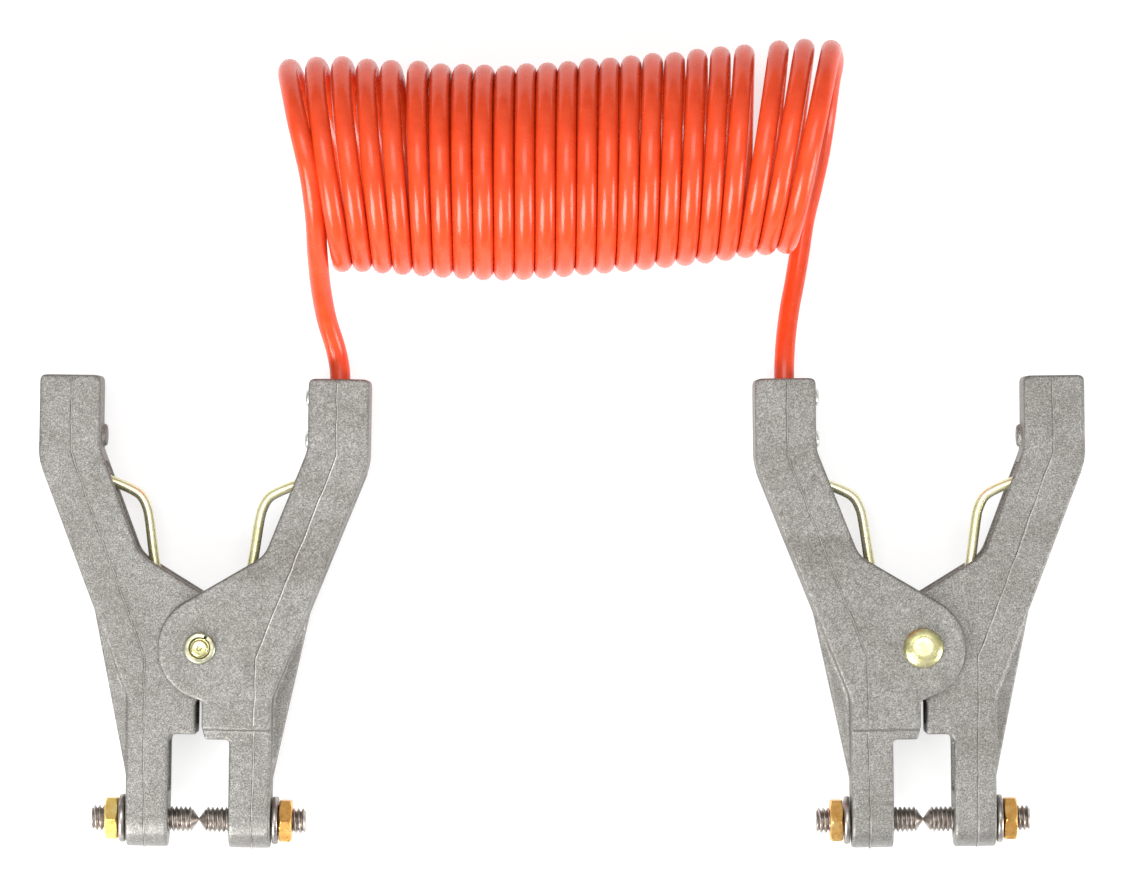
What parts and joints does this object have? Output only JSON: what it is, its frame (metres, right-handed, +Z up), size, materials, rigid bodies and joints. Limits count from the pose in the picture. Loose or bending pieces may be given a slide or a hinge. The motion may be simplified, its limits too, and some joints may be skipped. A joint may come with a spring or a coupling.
{
  "type": "static grounding clamp cable",
  "caption": "Sprung cast hand clamps with cone-point contact screws, joined by a coiled, jacketed bonding cable, for earthing drums and vessels.",
  "frame": {"origin": "on the surface that the set lies on, below the middle of the two clamps' bounding box", "axes": "+X from the left clamp to the right one, +Y from the jaws to the handles, +Z up, along the pivot pins"},
  "size_m": [0.325, 0.253, 0.0669],
  "materials": {
    "cast_aluminium": "as cast, tumbled, fine grey speckle",
    "yellow_zinc": "pale yellow zinc plate",
    "brass": "bright turned brass",
    "screw_steel": "plain rolled thread",
    "washer_steel": "plain, lightly worn",
    "bright_zinc": "bright zinc plate",
    "cable_jacket": "glossy orange vinyl"
  },
  "bodies": {
    "cable_set": {"coiled_cable": "cable_jacket", "left_lead": "cable_jacket", "right_lead": "cable_jacket", "left_cable_half": "cast_aluminium", "left_pivot_pin": "yellow_zinc", "left_retaining_ring": "yellow_zinc", "left_torsion_spring": "yellow_zinc", "left_cable_lock_washer": "washer_steel", "left_upper_cable_screw": "bright_zinc", "left_lower_cable_screw": "bright_zinc", "left_cable_sleeve": "bright_zinc", "right_cable_half": "cast_aluminium", "right_pivot_pin": "yellow_zinc", "right_retaining_ring": "yellow_zinc", "right_torsion_spring": "yellow_zinc", "right_cable_lock_washer": "washer_steel", "right_upper_cable_screw": "bright_zinc", "right_lower_cable_screw": "bright_zinc", "right_cable_sleeve": "bright_zinc"},
    "left_jaw": {"left_tongue_half": "cast_aluminium", "left_tongue_lock_washer": "washer_steel"},
    "left_cable_screw": {"left_cable_contact_screw": "screw_steel"},
    "left_cable_nut": {"left_cable_lock_nut": "brass"},
    "left_tongue_screw": {"left_tongue_contact_screw": "screw_steel"},
    "left_tongue_nut": {"left_tongue_lock_nut": "brass"},
    "right_jaw": {"right_tongue_half": "cast_aluminium", "right_tongue_lock_washer": "washer_steel"},
    "right_cable_screw": {"right_cable_contact_screw": "screw_steel"},
    "right_cable_nut": {"right_cable_lock_nut": "brass"},
    "right_tongue_screw": {"right_tongue_contact_screw": "screw_steel"},
    "right_tongue_nut": {"right_tongue_lock_nut": "brass"}
  },
  "joints": [
    {"name": "left_jaw_pivot", "type": "hinge", "parent": "cable_set", "child": "left_jaw", "pos_m": [-0.11229, -0.01108, 0.0151], "axis": [0, 0, -1], "range_deg": [0, 40], "stiffness_Nm_per_rad": 3.9, "springref_deg": -28.65, "deforming": ["left_torsion_spring"]},
    {"name": "left_cable_screw_travel", "type": "slide", "parent": "cable_set", "child": "left_cable_screw", "axis": [0.9998, -0.0175, 0], "range_m": [0, 0.006]},
    {"name": "left_cable_nut_spin", "type": "hinge", "parent": "cable_set", "child": "left_cable_nut", "pos_m": [-0.11323, -0.06488, 0.0151], "axis": [0.9998, -0.0175, 0], "continuous": true},
    {"name": "left_tongue_screw_travel", "type": "slide", "parent": "left_jaw", "child": "left_tongue_screw", "axis": [-0.9998, 0.0175, 0], "range_m": [0, 0.006]},
    {"name": "left_tongue_nut_spin", "type": "hinge", "parent": "left_jaw", "child": "left_tongue_nut", "pos_m": [-0.11323, -0.06488, 0.0151], "axis": [-0.9998, 0.0175, 0], "continuous": true},
    {"name": "right_jaw_pivot", "type": "hinge", "parent": "cable_set", "child": "right_jaw", "pos_m": [0.11201, -0.01108, 0.0151], "axis": [0, 0, 1], "range_deg": [0, 40], "stiffness_Nm_per_rad": 3.9, "springref_deg": -28.65, "deforming": ["right_torsion_spring"]},
    {"name": "right_cable_screw_travel", "type": "slide", "parent": "cable_set", "child": "right_cable_screw", "axis": [-0.9999, -0.0122, 0], "range_m": [0, 0.006]},
    {"name": "right_cable_nut_spin", "type": "hinge", "parent": "cable_set", "child": "right_cable_nut", "pos_m": [0.11266, -0.06488, 0.0151], "axis": [-0.9999, -0.0122, 0], "continuous": true},
    {"name": "right_tongue_screw_travel", "type": "slide", "parent": "right_jaw", "child": "right_tongue_screw", "axis": [0.9999, 0.0122, 0], "range_m": [0, 0.006]},
    {"name": "right_tongue_nut_spin", "type": "hinge", "parent": "right_jaw", "child": "right_tongue_nut", "pos_m": [0.11266, -0.06488, 0.0151], "axis": [0.9999, 0.0122, 0], "continuous": true}
  ]
}
